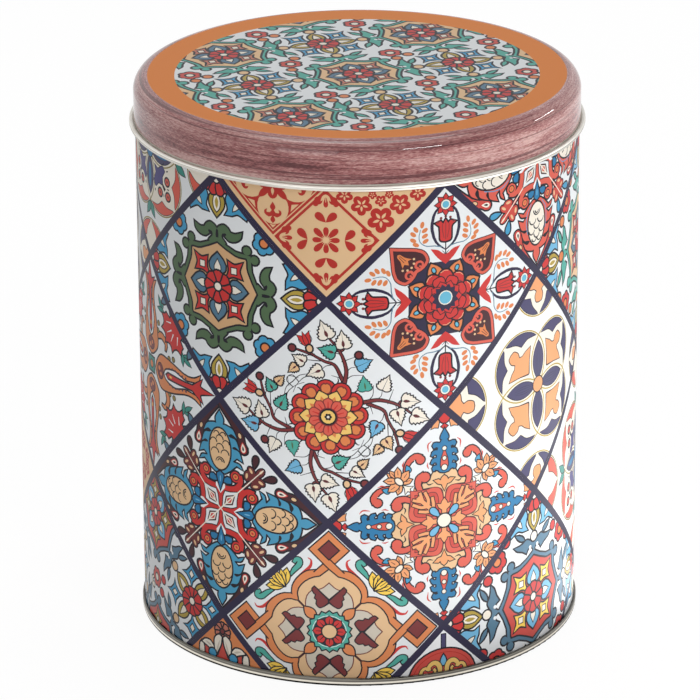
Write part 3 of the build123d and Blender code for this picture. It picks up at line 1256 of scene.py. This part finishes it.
def tinplate(name, bright, dull, low, high, painted_light_levels=()):
    """Bare tinplate: steel with a tin skin, drawn in fine level lines, with dull patches, and with
    painted highlights and shade by height where these are given.
    """
    m = Nodes(name)
    m.set(Metallic=1.0)
    at = m.place()
    lines = m.noise(m.place((1, 1, 45)), 130, 3, 0.7)
    patches = m.noise(at, 35, 4, 0.6)
    m.to("Roughness", m.math("ADD", m.spread(lines, low, high), m.spread(patches, -0.03, 0.05)))
    tone = m.share((lines, 0.75), (patches, 0.25))
    mix = m.node("Mix", {"Factor": m.spread(tone, 0, 1, 0.38, 0.62)}, data_type="RGBA")
    mix.inputs[6].default_value = linear(bright)
    mix.inputs[7].default_value = linear(dull)
    tone = mix.outputs[2]
    # painted highlights and shade, multiplied into the metal's colour by height
    if painted_light_levels:
        foot, head = painted_light_levels[0][0], painted_light_levels[-1][0]
        level = m.node("SeparateXYZ", {0: m.node("TexCoord").outputs["Object"]}).outputs[2]
        level = m.spread(level, 0, 1, foot / 1000, head / 1000)
        stops = [((z - foot) / (head - foot), (grey, grey, grey)) for z, grey in painted_light_levels]
        painted_light = m.ramp(level, stops)
        tone_with_painted_light = m.node("Mix", {"Factor": 1.0}, data_type="RGBA", blend_type="MULTIPLY")
        m.tree.links.new(tone, tone_with_painted_light.inputs[6])
        m.tree.links.new(painted_light, tone_with_painted_light.inputs[7])
        tone = tone_with_painted_light.outputs[2]
    m.to("Base Color", tone)
    m.bump(lines, 0.25, 0.00006)
    return m.material


# Scene ------------------------------------------------------------------------


def stage():
    """A white floor that keeps the tin's shadow, in a white room."""
    bpy.ops.mesh.primitive_plane_add(size=8, location=(0, 2.5, -0.0002))
    floor = bpy.context.object
    floor.name = "floor"
    m = Nodes("floor")
    m.set(Base_Color=(0.9, 0.9, 0.9, 1), Roughness=0.9, Specular_IOR_Level=0.0)
    rays = m.node("LightPath").outputs
    seen = m.math("MAXIMUM", rays["Is Camera Ray"], rays["Is Glossy Ray"])
    seen = m.math("MULTIPLY", m.math("MAXIMUM", seen, rays["Is Transmission Ray"]), 0.86)
    glow = m.node("Emission", {"Color": (1, 1, 1, 1), "Strength": 1.07})
    mix = m.node("MixShader", {0: seen, 1: m.shader.outputs[0], 2: glow.outputs[0]})
    m.tree.links.new(mix.outputs[0], m.tree.nodes["Material Output"].inputs["Surface"])
    floor.data.materials.append(m.material)

    world = bpy.data.worlds.new("studio")
    bpy.context.scene.world = world
    world.use_nodes = True
    tree = world.node_tree
    room = tree.nodes["Background"]
    room.inputs[0].default_value = (1, 1, 1, 1)
    room.inputs[1].default_value = 0.25  # strength of the light from all round
    white = tree.nodes.new("ShaderNodeBackground")
    white.inputs[0].default_value = (1, 1, 1, 1)
    mix = tree.nodes.new("ShaderNodeMixShader")
    rays = tree.nodes.new("ShaderNodeLightPath")
    seen = rays.outputs["Is Camera Ray"]
    for other in ("Is Glossy Ray", "Is Transmission Ray"):
        either = tree.nodes.new("ShaderNodeMath")
        either.operation = "MAXIMUM"
        tree.links.new(seen, either.inputs[0])
        tree.links.new(rays.outputs[other], either.inputs[1])
        seen = either.outputs[0]
    tree.links.new(seen, mix.inputs[0])
    tree.links.new(room.outputs[0], mix.inputs[1])
    tree.links.new(white.outputs[0], mix.inputs[2])
    tree.links.new(mix.outputs[0], tree.nodes["World Output"].inputs["Surface"])


def lamp(name, place, aim, width, height, watts):
    """A lamp that lights the tin and isn't seen itself."""
    light = bpy.data.lights.new(name, "AREA")
    light.shape = "RECTANGLE"
    light.size, light.size_y = width, height
    light.energy = watts
    o = bpy.data.objects.new(name, light)
    bpy.context.scene.collection.objects.link(o)
    o.visible_camera = False
    o.location = place
    o.rotation_euler = (Vector(aim) - Vector(place)).to_track_quat("-Z", "Y").to_euler()


def camera():
    """The photograph's view: seen from in front and above, through a long lens."""
    down, roll = 0.3684, -0.005  # radians
    lens = bpy.data.cameras.new("camera")
    lens.lens = 240.85
    lens.sensor_width = 36
    lens.clip_start = 0.05
    o = bpy.data.objects.new("camera", lens)
    bpy.context.scene.collection.objects.link(o)
    o.location = (-0.00295, -1.56365, 0.69924)
    o.rotation_mode = "QUATERNION"
    tilt = Quaternion((1, 0, 0), pi / 2 - down)
    o.rotation_quaternion = tilt @ Quaternion((0, 0, 1), roll)
    bpy.context.scene.camera = o


bpy.context.scene.view_settings.view_transform = "Standard"
camera()
stage()
lamp("key", (0.9, -1.33, 1.1), (0, 0, 0.1), 0.6, 0.08, 5.2)
lamp("side", (1.55, 0.7, 0.9), (0, 0, 0.1), 0.6, 0.1, 3.0)
lamp("top", (0, 0.3, 1.8), (0, 0, 0.1), 1.2, 0.8, 9.5)
lamp("fill", (-0.7, -1.5, 0.45), (0, 0, 0.1), 0.9, 0.9, 3.6)
lamp("card", (0.225, -0.23, 0.004), (0.225, -0.2301, 1), 0.35, 0.26, 0.6)
lamp("end", (0.275, -0.02, 0.004), (0.275, -0.0201, 1), 0.28, 0.24, 0.42)
lamp("near", (0.108, -0.045, 0.004), (0.108, -0.0451, 1), 0.055, 0.12, 0.06)
lamp("low", (-0.035, -0.18, 0.004), (-0.035, -0.1801, 1), 0.17, 0.16, 0.08)

# how bright the metal is painted at each level in millimetres: painted highlights on the rolled
# edges, darker bands between them, and painted shade in the creases, under the lid's curl and along
# the foot
# the flat foot left plain, then a painted shadow round the foot's bend, a painted highlight band
# above it and darker bands up the seam
RIM_LIGHT_AND_SHADE = (
    (0.0, 190), (0.03, 190), (0.09, 6), (0.75, 5), (0.95, 220), (1.05, 255), (1.45, 255),
    (1.6, 140), (1.9, 110), (2.1, 120), (2.35, 160), (2.6, 110), (2.8, 90), (3.0, 120), (3.2, 250),
)
# painted shade under the curl and in the crease above it, with painted highlight bands across the
# curl
CURL_LIGHT_AND_SHADE = (
    (183.02, 50), (183.2, 235), (183.42, 255), (183.62, 165), (183.85, 250), (184.1, 165),
    (184.35, 255), (184.6, 235), (184.86, 215), (185.4, 215), (185.6, 255),
)
MATERIALS = {name: ink_material(name, rgb) for name, rgb in INKS.items()}
MATERIALS["brushed"] = brushed()
METALS = {
    "body_wall": tinplate("tinplate_wall", (234, 231, 224), (214, 209, 199), 0.24, 0.38),
    "base": tinplate("tinplate_base", (244, 238, 226), (222, 214, 198), 0.24, 0.42, RIM_LIGHT_AND_SHADE),
    "lid": tinplate("tinplate_lid", (246, 242, 234), (224, 219, 209), 0.26, 0.42, CURL_LIGHT_AND_SHADE),
}
for name, node in frame["nodes"].items():
    node.data.materials.clear()
    node.data.materials.append(METALS[name])

# the tile at each place of each row round the wall, from the foot up
ROWS = {
    -1: "D5 D16 D17 D1 D13 D3".split(),
    0: "D11 D8 D9 D2 D6 D7".split(),
    1: "D3 D6 D7 D15 D4 D14".split(),
    2: "D10 D4 D5 D1 D2 D12".split(),
    3: "D5 D1 D2 D14 D7 D10".split(),
    4: "D13 D3 D12 D6 D8 D4".split(),
    5: "D6 D2 D7 D9 D12 D1".split(),
}
print_wall(ROWS)
print_lid()
